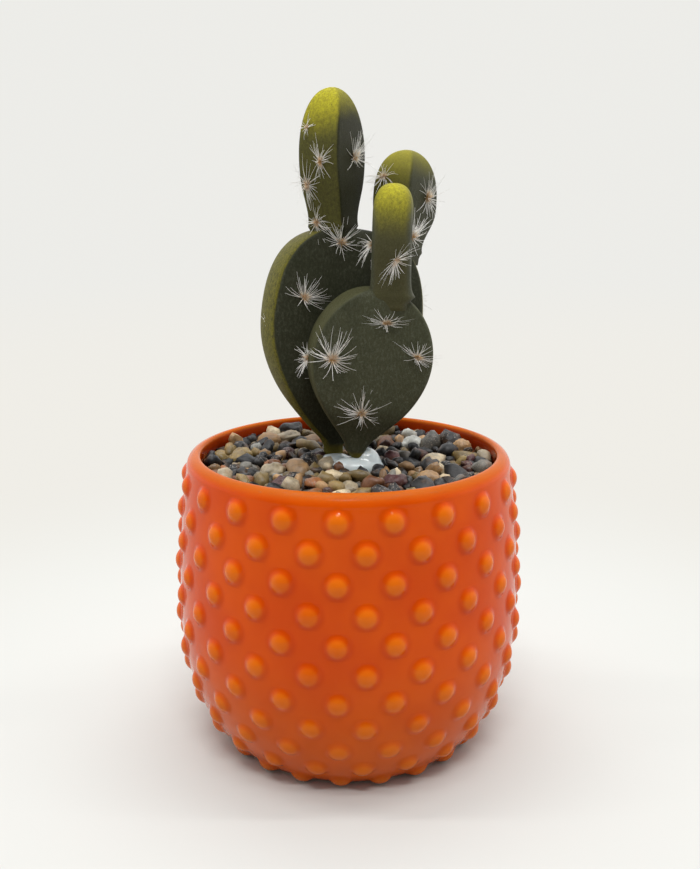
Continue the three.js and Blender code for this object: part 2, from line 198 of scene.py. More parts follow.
def pot_profile():
    """The pot's section from the middle of its base, up the wall, over the lip and down inside."""
    top, lip_height, lip_crest, edge_round = 101, 4, 50.8, 1.1
    thickness, floor_height, widening = 5, 6, 0.12
    foot = [(0, 0.7), (14, 0.7), (27, 0.7), (29, 0.5), (30, 0.12), (31, 0), (39.6, 0), (40.9, 0.15)]
    wall, z, step, nudge = [], 0.5, 0.76, 0.01
    while z < top - lip_height:
        wall.append((wall_radius(z), z))
        slope = (wall_radius(z + nudge) - wall_radius(z)) / nudge
        z += step / math.sqrt(1 + slope ** 2)
    outer = wall_radius(top - lip_height)
    lip = [(outer - (outer - lip_crest) * (1 - math.cos(a)), top - lip_height + lip_height * math.sin(a))
           for a in np.radians(np.linspace(0, 90, 12))]
    edge = [(lip_crest - edge_round * math.sin(a), top - edge_round + edge_round * math.cos(a))
            for a in np.radians((25, 50, 70, 90))]
    inner = lip_crest - edge_round
    inside = [(min(wall_radius(z) - thickness, inner + (top - z) * widening), z)
              for z in (98.5, 96, 93, 90, 84, 74, 60, 45, 30, 20, 13, 9, 7)]
    floor = [(inside[-1][0] - 2, floor_height), (16, floor_height), (0, floor_height)]
    return foot + wall + lip + edge + inside + floor


def down_wall(r, z):
    """How far down the outside a point is from the first ring of dots, or far away inside the pot."""
    first_ring, lip_starts, foot_ends, far_away = 92.9, 97.5, 0.2, 1000
    if z > lip_starts or z < foot_ends or abs(r - wall_radius(z)) > 0.01:
        return far_away
    heights = np.linspace(z, first_ring, 200)
    radii = [wall_radius(one) for one in heights]
    return math.copysign(float(np.hypot(np.diff(radii), np.diff(heights)).sum()), first_ring - z)


def dotted_pot_tree():
    """Turns a profile into a pot and raises the dots on its wall."""
    tree, given = new_tree("dotted_pot", [
        ("Columns", "Int"), ("Dots per ring", "Int"), ("Rings", "Int"), ("Pitch", "Float"),
        ("Dot radius", "Float"), ("Dot height", "Float"), ("Fillet", "Float"), ("Turn", "Float")])
    profile = given["Geometry"]
    rows = put(tree, "GeometryNodeAttributeDomainSize", {0: profile}).outputs["Point Count"]
    columns = calc(tree, "ADD", given["Columns"], 1)
    grid = put(tree, "GeometryNodeMeshGrid", {
        "Size X": 1, "Size Y": 1, "Vertices X": columns, "Vertices Y": rows})
    at = put(tree, "GeometryNodeInputPosition").outputs[0]
    grid_x, grid_y, _ = xyz_of(tree, at)
    angle = times(tree, calc(tree, "ADD", grid_x, 0.5), 2 * math.pi)
    row = times(tree, calc(tree, "ADD", grid_y, 0.5), calc(tree, "SUBTRACT", rows, 1))
    row = calc(tree, "ROUND", row)

    def from_profile(kind, value, index):
        """What the profile carries at one of its points."""
        return put(tree, "GeometryNodeSampleIndex", {"Geometry": profile, "Value": value, "Index": index},
                   data_type=kind, clamp=True).outputs[0]

    radius, _, height = xyz_of(tree, from_profile("FLOAT_VECTOR", at, row))
    ahead = from_profile("FLOAT_VECTOR", at, calc(tree, "ADD", row, 1))
    behind = from_profile("FLOAT_VECTOR", at, calc(tree, "SUBTRACT", row, 1))
    along = vector(tree, "SUBTRACT", ahead, behind)
    way = put(tree, "ShaderNodeVectorMath", {0: along}, operation="NORMALIZE")
    outward, _, upward = xyz_of(tree, way.outputs[0])
    down = from_profile("FLOAT", stored(tree, "down_wall"), row)

    ring = calc(tree, "ROUND", calc(tree, "DIVIDE", down, given["Pitch"]))
    ring = calc(tree, "MINIMUM", calc(tree, "MAXIMUM", ring, 0), calc(tree, "SUBTRACT", given["Rings"], 1))
    off_ring = calc(tree, "SUBTRACT", down, times(tree, ring, given["Pitch"]))
    half_step = times(tree, calc(tree, "FLOORED_MODULO", ring, 2), 0.5)
    steps = times(tree, calc(tree, "SUBTRACT", angle, given["Turn"]),
                 calc(tree, "DIVIDE", given["Dots per ring"], 2 * math.pi))
    steps = calc(tree, "SUBTRACT", steps, half_step)
    off_dot = calc(tree, "SUBTRACT", steps, calc(tree, "ROUND", steps))
    off_dot = times(tree, off_dot, calc(tree, "DIVIDE", 2 * math.pi, given["Dots per ring"]))
    off_dot = times(tree, off_dot, radius)
    away = calc(tree, "ADD", times(tree, off_dot, off_dot), times(tree, off_ring, off_ring))
    away = calc(tree, "SQRT", away)

    dot, rise = given["Dot radius"], given["Dot height"]
    ball = calc(tree, "DIVIDE", calc(tree, "ADD", times(tree, dot, dot),
                                     times(tree, rise, rise)), times(tree, rise, 2))
    inside = calc(tree, "SUBTRACT", times(tree, ball, ball), times(tree, away, away))
    cap = calc(tree, "SQRT", calc(tree, "MAXIMUM", inside, 0))
    cap = calc(tree, "SUBTRACT", cap, calc(tree, "SUBTRACT", ball, rise))
    lift = calc(tree, "SMOOTH_MAX", cap, 0, given["Fillet"])
    out = calc(tree, "ADD", radius, times(tree, upward, lift))
    up = calc(tree, "SUBTRACT", height, times(tree, outward, lift))
    up = calc(tree, "MAXIMUM", up, 0)
    spot = put(tree, "ShaderNodeCombineXYZ", {
        0: times(tree, out, calc(tree, "COSINE", angle)),
        1: times(tree, out, calc(tree, "SINE", angle)), 2: up})

    marked = store(tree, grid.outputs[0], "from_dot", calc(tree, "DIVIDE", away, dot))
    turned = put(tree, "GeometryNodeSetPosition", {"Geometry": marked, "Position": spot.outputs[0]})
    closed = put(tree, "GeometryNodeMergeByDistance", {"Geometry": turned.outputs[0], "Distance": 1e-6})
    close_tree(tree, closed.outputs[0], given)
    return tree


def orange_glaze():
    """Glossy glaze: cloudy, darker where it gathers, paler where it runs thin, with painted shade on the
    inside wall, and bare clay below.
    """
    material, tree, shader = new_material("orange_glaze")
    place = place_on(tree)
    x, y, z = xyz_of(tree, place)
    from_dot = carried(tree, "from_dot")
    cloud = noise(tree, place, 45, 3)
    ripple = noise(tree, stretched(tree, place, (1, 1, 5)), 60, 2)
    colour = blend(tree, ramp(tree, cloud, 0.35, 0.7), (0.64, 0.064, 0.0002, 1), (0.70, 0.084, 0.0004, 1))
    gathered = times(tree, ramp(tree, from_dot, 0.8, 1.1), ramp(tree, from_dot, 1.6, 1.15))
    colour = blend(tree, times(tree, gathered, 0.3), colour, (0.54, 0.036, 0.0008, 1))
    thin = times(tree, ramp(tree, from_dot, 0.92, 0.6), ramp(tree, cloud, 0.2, 0.6, 0.35, 0.75))
    colour = blend(tree, thin, colour, (0.76, 0.168, 0.006, 1))
    lip = ramp(tree, z, 98 * mm, 101 * mm, 0, 0.8)
    colour = blend(tree, lip, colour, (0.46, 0.115, 0.012, 1))
    low = ramp(tree, z, 60 * mm, 5 * mm, 0, 0.5)
    colour = blend(tree, low, colour, (0.48, 0.105, 0.002, 1))
    # Painted shade: the glaze inside the pot, from the lip down to 60 mm, is darkened to stand in for the
    # little light that reaches in there.
    reach = calc(tree, "SQRT", calc(tree, "ADD", times(tree, x, x), times(tree, y, y)))
    inner = times(tree, ramp(tree, reach, 51.6 * mm, 51 * mm), ramp(tree, z, 100.6 * mm, 99.4 * mm))
    inner = times(tree, inner, ramp(tree, z, 60 * mm, 62 * mm))
    colour = blend(tree, times(tree, inner, 0.85), colour, (0.27, 0.022, 0.001, 1))
    bare = ramp(tree, z, 0.55 * mm, 0.25 * mm)
    grit = noise(tree, place, 1800, 4)
    clay = blend(tree, grit, (0.52, 0.36, 0.25, 1), (0.70, 0.55, 0.42, 1))
    tree.links.new(blend(tree, bare, colour, clay), shader.inputs["Base Color"])
    rough = calc(tree, "ADD", times(tree, bare, 0.65), ramp(tree, cloud, 0.3, 0.75, 0.05, 0.09))
    tree.links.new(rough, shader.inputs["Roughness"])
    fine = noise(tree, place, 320, 2)
    height = calc(tree, "ADD", times(tree, ripple, 0.1 * mm), times(tree, fine, 0.012 * mm))
    relief(tree, shader, height, 0.6, 1.0)
    tree.links.new(ramp(tree, z, 98 * mm, 100 * mm, 0.14, 0.04), shader.inputs["Specular IOR Level"])
    return material


profile = bpy.data.meshes.new("pot_profile")
points = pot_profile()
profile.from_pydata(
    [(r * mm, 0, z * mm) for r, z in points], [(i, i + 1) for i in range(len(points) - 1)], [])
profile.attributes.new("down_wall", "FLOAT", "POINT").data.foreach_set(
    "value", [down_wall(r, z) * mm for r, z in points])
pot = shaped(
    "hobnail_pot", profile, dotted_pot_tree(), columns=483, dots_per_ring=21, rings=11, pitch=9.4 * mm,
    dot_radius=3.7 * mm, dot_height=1.75 * mm, fillet=1.2 * mm, turn=math.radians(-93.3),
    material=orange_glaze())
finish_piece(pot, "orange_glaze", "pot")


# ------------------------------------------------------------------ the foam core
# A block of green florist's foam fills the pot under the gravel and grips the two stems.
# It is cut to the pot's inside and pressed in, and nothing of it shows.

def florist_foam():
    """Dry green foam with open cells, whose hollows are darkened with painted shade."""
    material, tree, shader = new_material("florist_foam")
    place = place_on(tree)
    cells = put(tree, "ShaderNodeTexVoronoi", {"Vector": place, "Scale": 900}).outputs["Distance"]
    colour = blend(tree, noise(tree, place, 300, 3), (0.045, 0.12, 0.05, 1), (0.10, 0.22, 0.09, 1))
    # Painted shade: the open cells' hollows are painted a darker green.
    tree.links.new(blend(tree, ramp(tree, cells, 0.5, 0.1), colour, (0.02, 0.05, 0.025, 1)),
                   shader.inputs["Base Color"])
    relief(tree, shader, cells, 0.5, 0.4 * mm)
    shader.inputs["Roughness"].default_value = 0.95
    return material


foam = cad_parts["foam_core"]
foam.data.materials.clear()
foam.data.materials.append(florist_foam())


# ------------------------------------------------------------------ the gravel
# Tumbled aquarium gravel, 3 to 8 mm across, in creams, tans, olive golds, greys, blacks and maroons.
# It is poured over the foam, and a few bigger stones lie on top. Each stone is rolled to the lowest free
# place that was found for it, so the stones lean on each other as poured stones do.

# Each colour of stone, and how many of them there are for the others.
STONE_COLOURS = [
    ("cream", (0.52, 0.42, 0.27), 10), ("tan", (0.36, 0.21, 0.09), 15),
    ("olive gold", (0.22, 0.15, 0.05), 15), ("rust", (0.24, 0.09, 0.03), 8),
    ("maroon", (0.07, 0.02, 0.02), 9), ("charcoal", (0.015, 0.014, 0.014), 24),
    ("black", (0.008, 0.008, 0.009), 18), ("grey", (0.16, 0.15, 0.125), 8),
    ("white", (0.50, 0.50, 0.45), 4)]


def tone_of(name):
    """Where a stone colour lies on the ramp of stone colours, from 0 to 1."""
    names = [one[0] for one in STONE_COLOURS]
    return (names.index(name) + 0.5) / len(names)


def tumbled_stone():
    """Satin stone in its own colour, with patches, veins, a warm bloom and, on some, pale speckles."""
    material, tree, shader = new_material("tumbled_stone")
    place = place_on(tree)
    tone = carried(tree, "tone")
    seed = carried(tree, "seed")
    speckle = carried(tree, "speckle")
    colours = put(tree, "ShaderNodeValToRGB", {"Fac": tone})
    band = colours.color_ramp
    band.interpolation = "CONSTANT"
    while len(band.elements) < len(STONE_COLOURS):
        band.elements.new(0.5)
    for i, (_, rgb, _) in enumerate(STONE_COLOURS):
        band.elements[i].position = i / len(STONE_COLOURS)
        band.elements[i].color = (*rgb, 1)
    shift = put(tree, "ShaderNodeCombineXYZ", {0: seed, 1: times(tree, seed, 3.7)})
    own = vector(tree, "ADD", place, shift.outputs[0])
    patches = noise(tree, own, 260, 4, 0.6)
    veins = noise(tree, own, 900, 3, 0.7)
    value = ramp(tree, patches, 0.25, 0.75, 0.62, 1.35)
    value = times(tree, value, ramp(tree, veins, 0.3, 0.7, 0.85, 1.12))
    value = times(tree, value, ramp(tree, seed, 0, 1, 0.55, 1.15))
    colour = vector(tree, "SCALE", colours.outputs[0], value)
    warm = ramp(tree, noise(tree, own, 180, 2), 0.5, 0.75, 0, 0.3)
    colour = blend(tree, warm, colour, (0.30, 0.15, 0.06, 1))
    grains = put(tree, "ShaderNodeTexVoronoi", {"Vector": own, "Scale": 1500}).outputs["Distance"]
    pale = times(tree, ramp(tree, grains, 0.32, 0.18), speckle)
    colour = blend(tree, pale, colour, (0.30, 0.25, 0.20, 1))
    tree.links.new(colour, shader.inputs["Base Color"])
    tree.links.new(ramp(tree, patches, 0.3, 0.7, 0.34, 0.58), shader.inputs["Roughness"])
    relief(tree, shader, veins, 0.35, 0.4 * mm)
    return material


def stone_tree():
    """Puts a rounded lump on each point and dents it by noise, so that no two stones are alike."""
    tree, given = new_tree("poured_stones", [
        ("Roundness", "Int"), ("Dents", "Float"), ("Dent size", "Float")])
    ball = put(tree, "GeometryNodeMeshIcoSphere", {"Radius": 1.0, "Subdivisions": given["Roundness"]})
    at = put(tree, "GeometryNodeInputPosition").outputs[0]
    kept = store(tree, ball.outputs[0], "on_ball", at, "FLOAT_VECTOR")
    turn = put(tree, "FunctionNodeEulerToRotation", {0: stored(tree, "turn", "FLOAT_VECTOR")})
    half = stored(tree, "half", "FLOAT_VECTOR")
    stones = put(tree, "GeometryNodeInstanceOnPoints", {
        "Points": given["Geometry"], "Instance": kept, "Rotation": turn.outputs[0], "Scale": half})
    real = put(tree, "GeometryNodeRealizeInstances", {"Geometry": stones.outputs[0]})
    shift = put(tree, "ShaderNodeCombineXYZ", {0: times(tree, stored(tree, "seed"), 60)})
    own = vector(tree, "ADD", stored(tree, "on_ball", "FLOAT_VECTOR"), shift.outputs[0])
    broad = noise(tree, own, given["Dent size"], 1.0)
    chips = put(tree, "ShaderNodeTexVoronoi", {"Vector": own, "Scale": 1.1}, feature="SMOOTH_F1")
    chip = times(tree, calc(tree, "SUBTRACT", 0.45, chips.outputs["Distance"]), 0.5)
    dent = calc(tree, "ADD", calc(tree, "SUBTRACT", broad, 0.5), chip)
    size = put(tree, "ShaderNodeVectorMath", {0: half}, operation="LENGTH").outputs["Value"]
    normal = put(tree, "GeometryNodeInputNormal").outputs[0]
    push = vector(tree, "SCALE", normal, times(tree, times(tree, dent, given["Dents"]), size))
    dented = put(tree, "GeometryNodeSetPosition", {"Geometry": real.outputs[0], "Offset": push})
    close_tree(tree, dented.outputs[0], given)
    return tree


def stone_points(name, stones):
    """A mesh of points, one for each stone, that carries what the stone tree needs."""
    mesh = bpy.data.meshes.new(name)
    mesh.from_pydata([tuple(c * mm for c in one["at"]) for one in stones], [], [])
    for key, kind in (("half", "FLOAT_VECTOR"), ("turn", "FLOAT_VECTOR"), ("seed", "FLOAT"),
                      ("tone", "FLOAT"), ("speckle", "FLOAT")):
        values = np.array([one[key] for one in stones], dtype=float) * (mm if key == "half" else 1)
        field = "vector" if kind == "FLOAT_VECTOR" else "value"
        mesh.attributes.new(key, kind, "POINT").data.foreach_set(field, values.ravel())
    return mesh


# Each big stone: its middle, its half sizes, how far it is turned, its colour and how speckled it is.
BIG_STONES = [
    ((-25, -13.5, 96.8), (4.6, 3.4, 2.4), 20, "cream", 0.1),
    ((-22.5, 29, 97.6), (5, 3.4, 2.1), 5, "cream", 0.0),
    ((-22, 38, 98.2), (4.8, 3.2, 3.2), -10, "charcoal", 0.1),
    ((-13.5, -3, 97), (3.6, 3, 2.9), 35, "black", 1.0),
    ((-20.6, -27, 96.4), (4, 3, 2.4), 40, "maroon", 0.2),
    ((14.6, -24.3, 96.4), (4.2, 3.2, 2.5), -20, "maroon", 0.2),
    ((40.5, 16, 97), (3.4, 3.2, 3), 0, "tan", 0.3),
    ((25.2, -22.1, 96.4), (3.9, 3.3, 2.7), 30, "tan", 0.2),
    ((22.5, 19.5, 97), (4.2, 3.4, 3.2), 60, "white", 0.0),
    ((-37, 5, 96.8), (4.4, 3.4, 2.8), 50, "olive gold", 0.2)]
# What the poured stones keep clear of: a middle and a reach for each stem and each lump of the glue.
STEMS_AND_GLUE = [
    ((-3.9, 6.5, 96), 3.4), ((5.8, -3.5, 96), 3.4), ((4.2, -4.6, 94.5), 6.6), ((-3.6, 2.4, 93.5), 5.0)]


def poured_stones(count, seed=11):
    """Drops stones one by one, each at the lowest of a few places tried, resting on the ones before."""
    tries, bed_radius, bed_height, highest, out_of_reach = 36, 50.0, 90.0, 97.4, 200
    closeness, settling = 0.86, 0.8
    dice = np.random.default_rng(seed)
    placed = np.array([[*at, sum(half) / 3] for at, half, *_ in BIG_STONES]
                      + [[*at, r] for at, r in STEMS_AND_GLUE])
    shares = np.array([share for *_, share in STONE_COLOURS], dtype=float)
    kept = len(placed)
    found = []
    for _ in range(count):
        size = float(np.clip(dice.lognormal(math.log(2.5), 0.32), 1.5, 4.4))
        spread, angle = np.sqrt(dice.random(tries)), 2 * math.pi * dice.random(tries)
        reach = spread * (bed_radius - size)
        x, y = reach * np.cos(angle), reach * np.sin(angle)
        gap = np.hypot(x[:, None] - placed[None, :, 0], y[:, None] - placed[None, :, 1])
        both = (size + placed[None, :, 3]) * closeness
        rest = placed[None, :, 2] + settling * np.sqrt(np.maximum(both ** 2 - gap ** 2, 0))
        rest = np.where(gap < both, rest, 0)
        rest[:, :kept] = np.where(gap[:, :kept] < both[:, :kept], out_of_reach, 0)
        z = np.maximum(rest.max(axis=1), bed_height + size * 0.6)
        best = int(np.argmin(z))
        if z[best] > highest:
            continue
        placed = np.vstack([placed, [x[best], y[best], z[best], size]])
        stretch = np.array([dice.uniform(*limits) for limits in ((1.0, 1.5), (0.8, 1.05), (0.5, 0.88))])
        found.append({
            "at": (x[best], y[best], z[best]), "half": tuple(size * stretch),
            "turn": (dice.normal(0, 0.6), dice.normal(0, 0.6), dice.uniform(0, 6.28)),
            "seed": dice.random(),
            "tone": (dice.choice(len(shares), p=shares / shares.sum()) + 0.5) / len(shares),
            "speckle": float(dice.random() < 0.2)})
    return found


stone_skin = tumbled_stone()
stones_by_rule = stone_tree()
gravel = shaped("poured_gravel", stone_points("gravel_points", poured_stones(900)), stones_by_rule,
                roundness=2, dents=0.62, dent_size=1.7, material=stone_skin)
finish_piece(gravel, "gravel", "gravel_bed")

for number, (at, half, turn, colour, speckle) in enumerate(BIG_STONES, start=1):
    facts = {"at": at, "half": half, "turn": (0.1, -0.15, math.radians(turn)), "seed": number / 11,
             "tone": tone_of(colour), "speckle": speckle}
    one = shaped(f"big_stone_{number}", stone_points(f"big_stone_point_{number}", [facts]), stones_by_rule,
                 roundness=4, dents=0.34, dent_size=1.5, material=stone_skin)
    finish_piece(one, "large_stones", f"large_stone_{number}")


# ------------------------------------------------------------------ the glue
# A puddle of milky hot-melt glue was run round the two stems to hold them in the gravel.
# It climbs the front stem a little, and its skin set smooth and glossy.

def cloudy_glue():
    """Milky plastic that lets some light in."""
    material, tree, shader = new_material("cloudy_glue")
    place = place_on(tree)
    cloud = noise(tree, place, 160, 3)
    milk = blend(tree, cloud, (0.52, 0.59, 0.60, 1), (0.76, 0.81, 0.80, 1))
    tree.links.new(milk, shader.inputs["Base Color"])
    tree.links.new(ramp(tree, cloud, 0.3, 0.7, 0.12, 0.24), shader.inputs["Roughness"])
    shader.inputs["Subsurface Weight"].default_value = 0.5
    shader.inputs["Subsurface Radius"].default_value = (1, 1.1, 1.2)
    shader.inputs["Subsurface Scale"].default_value = 0.003
    relief(tree, shader, noise(tree, place, 220, 1), 0.5, 0.8 * mm)
    return material


def glue_mound(lumps):
    """Rounded lumps run together into one smooth mound."""
    verts, faces = [], []
    bands, sides = 24, 48
    for (x, y, z), (a, b, c) in lumps:
        start = len(verts)
        for i in range(1, bands):
            for j in range(sides):
                lat, lon = math.pi * i / bands, 2 * math.pi * j / sides
                verts.append(((x + a * math.sin(lat) * math.cos(lon)) * mm,
                              (y + b * math.sin(lat) * math.sin(lon)) * mm, (z + c * math.cos(lat)) * mm))
        for k in range(start, start + (bands - 2) * sides, sides):
            for j in range(sides):
                after = (j + 1) % sides
                faces.append((k + j, k + sides + j, k + sides + after, k + after))
        faces.append(tuple(start + j for j in range(sides)))
        faces.append(tuple(start + (bands - 2) * sides + j for j in reversed(range(sides))))
    mesh = bpy.data.meshes.new("glue_mound")
    mesh.from_pydata(verts, [], faces)
    made = bpy.data.objects.new("glue_mound", mesh)
    collection.objects.link(made)
    fused = made.modifiers.new("fuse", "REMESH")
    fused.mode, fused.voxel_size, fused.use_smooth_shade = "VOXEL", 0.45 * mm, True
    eased = made.modifiers.new("ease", "SMOOTH")
    eased.factor, eased.iterations = 0.5, 12
    graph = bpy.context.evaluated_depsgraph_get()
    made.data = bpy.data.meshes.new_from_object(made.evaluated_get(graph), depsgraph=graph)
    made.modifiers.clear()
    made.data.materials.clear()
    made.data.materials.append(cloudy_glue())
    return made


glue = glue_mound([((3.4, -4.6, 95.4), (9.4, 5.6, 4.0)), ((-4.4, 2.4, 95.2), (6.4, 6.4, 3.2)),
                   ((6.0, -3.4, 95.8), (5.2, 4.8, 6.4))])
finish_piece(glue, "hot_melt_glue", "glue_puddle")


# ------------------------------------------------------------------ the pads
# Five pads of soft moulded plastic: two flat ones, each on its own stem, and three thick fingers that
# grow from them. Each is painted dark green with a brushed olive rim, and the three upper ones have
# yellow green sprayed on their tops.

def curve(a, b, c, d, steps=80):
    """Points on a smooth curve from a to d, pulled towards b and c."""
    t = np.linspace(0, 1, steps)[:, None]
    a, b, c, d = (np.array(p, dtype=float) for p in (a, b, c, d))
    return (1 - t) ** 3 * a + 3 * (1 - t) ** 2 * t * b + 3 * (1 - t) * t * t * c + t ** 3 * d


def pad_outlines(pad):
    """Half the width, the height and half the thickness of a pad, row by row from its root to its tip."""
    half, thick, top = pad["width"] / 2, pad["thick"] / 2, pad["height"]
    low, high = (share * pad["widest"] for share in pad["taper"])
    shoulder = pad["widest"] + pad["crown"] * (top - pad["widest"])
    front = np.vstack([
        curve((pad["neck"], 0), (pad["neck"], low), (half, high), (half, pad["widest"])),
        curve((half, pad["widest"]), (half, shoulder), (pad["crown"] * half, top), (0, top))[1:]])
    fills, rim, blunt, row_step = pad["fills"], pad["rim"], 0.68, 0.8
    side = np.vstack([
        curve((pad["root"], 0), (pad["root"], fills * 0.5), (thick, fills * 0.6), (thick, fills)),
        curve((thick, top - rim), (thick, top - rim + rim * blunt), (thick * blunt, top), (0, top))])
    length = np.concatenate([[0], np.cumsum(np.hypot(*np.diff(front, axis=0).T))])
    even = np.linspace(0, length[-1], int(length[-1] / row_step))
    width, height = np.interp(even, length, front[:, 0]), np.interp(even, length, front[:, 1])
    return width[:-1], height[:-1], np.interp(height[:-1], side[:, 1], side[:, 0])


def section(half, thick, crease, bulge):
    """A flat-sided ring: a slightly bulging rim each side, creases, and a front and a back face."""
    r = min(crease, 0.96 * half, 0.96 * thick)
    rim_steps, face_steps, face_bulge = 5, 14, 0.7 * bulge
    rim = np.linspace(0, thick - r, rim_steps + 1)[:-1]
    arc = np.linspace(0, math.pi / 2, 7)
    face = np.linspace(half - r, 0, face_steps + 1)[1:]
    x = np.concatenate([np.full(rim_steps, half), half - r + r * np.cos(arc), face])
    z = np.concatenate([rim, thick - r + r * np.sin(arc), np.full(face_steps, thick)])
    on_rim = np.concatenate([np.ones(rim_steps), np.cos(arc) ** 2, np.zeros(face_steps)])
    x = x + bulge * on_rim * (1 - (z / thick) ** 2)
    z = z + face_bulge * (1 - on_rim) * (1 - (x / half) ** 2)
    quarter = list(zip(x, z, on_rim))
    left = [(-a, b, c) for a, b, c in reversed(quarter[:-1])]
    upper = quarter + left
    lower = [(a, -b, c) for a, b, c in reversed(upper[1:-1])]
    return np.array(upper + lower)


def pad_frame(pad):
    """A pad's own frame: across, up, and towards its front face."""
    return (Matrix.Translation(pad["foot"]) @ Matrix.Rotation(math.radians(pad["turn"]), 4, "Z")
            @ Matrix.Rotation(math.radians(90 + pad["tip"]), 4, "X")
            @ Matrix.Rotation(math.radians(-pad["lean"]), 4, "Z"))


def pad_mesh(name, pad):
    """Lofts a pad through its rows, with its stem or its hidden root below."""
    rings, ups, rims = [], [], []
    place = np.array(pad_frame(pad))

    def keep(ring, points, up):
        rings.append(points)
        ups.append(up)
        rims.append(ring[:, 2])

    def keep_row(ring, height, up):
        local = np.c_[ring[:, 0], np.full(len(ring), height), ring[:, 1], np.ones(len(ring))]
        keep(ring, (local @ place.T)[:, :3], up)

    if "stem" in pad:
        turn = math.radians(pad["turn"])
        x_way = np.array((math.cos(turn), math.sin(turn), 0))
        y_way = np.array((-math.sin(turn), math.cos(turn), 0))
        thin = pad["stem_radius"]
        for z, mix in ((58, 0), (70, 0), (85, 0), (90, 0), (93, 0), (95, 0.05), (97, 0.2), (99, 0.5),
                       (100.5, 0.8)):
            ring = section(thin + (pad["neck"] - thin) * mix, thin + (pad["root"] - thin) * mix, thin, 0)
            middle = np.array((*pad["stem"], z)) * (1 - mix) + np.array((*pad["foot"][:2], z)) * mix
            around = ring[:, :1] * x_way - ring[:, 1:2] * y_way
            keep(ring, middle + around, (z - pad["foot"][2]) / pad["height"])
    else:
        for y, share in ((-4.2, 0.82), (-3, 0.88), (-2, 0.93), (-1, 0.97)):
            spread = pad["flare"] * max(0, 1 + y / 2)
            keep_row(section(pad["neck"] * share, pad["root"] + spread, pad["crease"] + 1, 0), y, 0)
    for half, height, thick in zip(*pad_outlines(pad)):
        flare = pad["flare"] * math.exp(-height / 1.6)
        ring = section(half, thick + flare, pad["crease"] + 0.5 * flare, pad["bulge"])
        keep_row(ring, height, height / pad["height"])
    n = len(rings[0])
    verts = [tuple(v * mm) for ring in rings for v in ring]
    faces = [(k * n + i, k * n + (i + 1) % n, (k + 1) * n + (i + 1) % n, (k + 1) * n + i)
             for k in range(len(rings) - 1) for i in range(n)]
    tip = (place @ np.array((0, pad["height"], 0, 1)))[:3]
    verts += [tuple(rings[0].mean(axis=0) * mm), tuple(tip * mm)]
    last = (len(rings) - 1) * n
    faces += [(n * len(rings), (i + 1) % n, i) for i in range(n)]
    faces += [(n * len(rings) + 1, last + i, last + (i + 1) % n) for i in range(n)]
    mesh = bpy.data.meshes.new(name)
    mesh.from_pydata(verts, [], faces)
    on_points = {"up": [*np.repeat(ups, n), ups[0], 1.0], "rim": [*np.concatenate(rims), 0.5, 0.5]}
    for key, values in on_points.items():
        mesh.attributes.new(key, "FLOAT", "POINT").data.foreach_set("value", values)
    mesh.polygons.foreach_set("use_smooth", [True] * len(faces))
    return mesh


def skin_group():
    """Brushed and sprayed paint over moulded plastic, as colour, roughness and height."""
    tree = bpy.data.node_groups.new("painted_skin", "ShaderNodeTree")
    for label, kind in (("Face", "Color"), ("Rim", "Color"), ("Tip", "Color"), ("Tip starts", "Float"),
                        ("Tip full", "Float"), ("Rim paint", "Float"), ("Dust", "Float")):
        tree.interface.new_socket(name=label, in_out="INPUT", socket_type="NodeSocket" + kind)
    for label, kind in (("Colour", "Color"), ("Roughness", "Float"), ("Height", "Float")):
        tree.interface.new_socket(name=label, in_out="OUTPUT", socket_type="NodeSocket" + kind)
    given = tree.nodes.new("NodeGroupInput").outputs
    place = place_on(tree)
    up = carried(tree, "up")
    rim = carried(tree, "rim")
    broad = noise(tree, place, 70, 3, 0.6)
    strokes = noise(tree, stretched(tree, place, (1, 1, 0.6)), 1300, 5, 0.75)
    grain = noise(tree, place, 2600, 2, 0.6)
    dusty = times(tree, ramp(tree, strokes, 0.42, 0.75), given["Dust"])
    base = blend(tree, dusty, given["Face"], (0.15, 0.16, 0.115, 1))
    base = blend(tree, ramp(tree, broad, 0.4, 0.75, 0, 0.45), base, (0.022, 0.026, 0.012, 1))
    edge = calc(tree, "ADD", rim, times(tree, calc(tree, "SUBTRACT", broad, 0.5), 0.9))
    edge = times(tree, ramp(tree, edge, 0.25, 0.8), given["Rim paint"])
    streak = blend(tree, ramp(tree, strokes, 0.35, 0.7), given["Rim"], (0.06, 0.055, 0.018, 1))
    base = blend(tree, edge, base, streak)
    base = blend(tree, ramp(tree, up, 0.0, -0.03), base, (0.11, 0.095, 0.014, 1))
    wander = calc(tree, "ADD", up, times(tree, calc(tree, "SUBTRACT", broad, 0.5), 0.22))
    wander = calc(tree, "ADD", wander, times(tree, calc(tree, "SUBTRACT", rim, 1), 0.13))
    tip = ramp(tree, wander, given["Tip starts"], given["Tip full"])
    tip_colour = blend(tree, ramp(tree, strokes, 0.3, 0.75), given["Tip"], (0.24, 0.21, 0.015, 1))
    base = blend(tree, tip, base, tip_colour)
    shade = ramp(tree, grain, 0.3, 0.7, 0.86, 1.12)
    height = calc(tree, "ADD", times(tree, grain, 0.4), strokes)
    put(tree, "NodeGroupOutput", {
        0: vector(tree, "SCALE", base, shade), 1: ramp(tree, strokes, 0.3, 0.7, 0.50, 0.68), 2: height})
    return tree


def painted_skin(name, tree_group, **values):
    """A pad's own paint, from the shared effect and its colours and amounts."""
    material, tree, shader = new_material(name)
    group = put(tree, "ShaderNodeGroup", node_tree=tree_group)
    for key, value in values.items():
        socket = group.inputs[key.replace("_", " ")]
        socket.default_value = (*value, 1) if isinstance(value, tuple) else value
    tree.links.new(group.outputs["Colour"], shader.inputs["Base Color"])
    tree.links.new(group.outputs["Roughness"], shader.inputs["Roughness"])
    relief(tree, shader, group.outputs["Height"], 0.4, 0.3 * mm)
    shader.inputs["Specular IOR Level"].default_value = 0.12
    return material


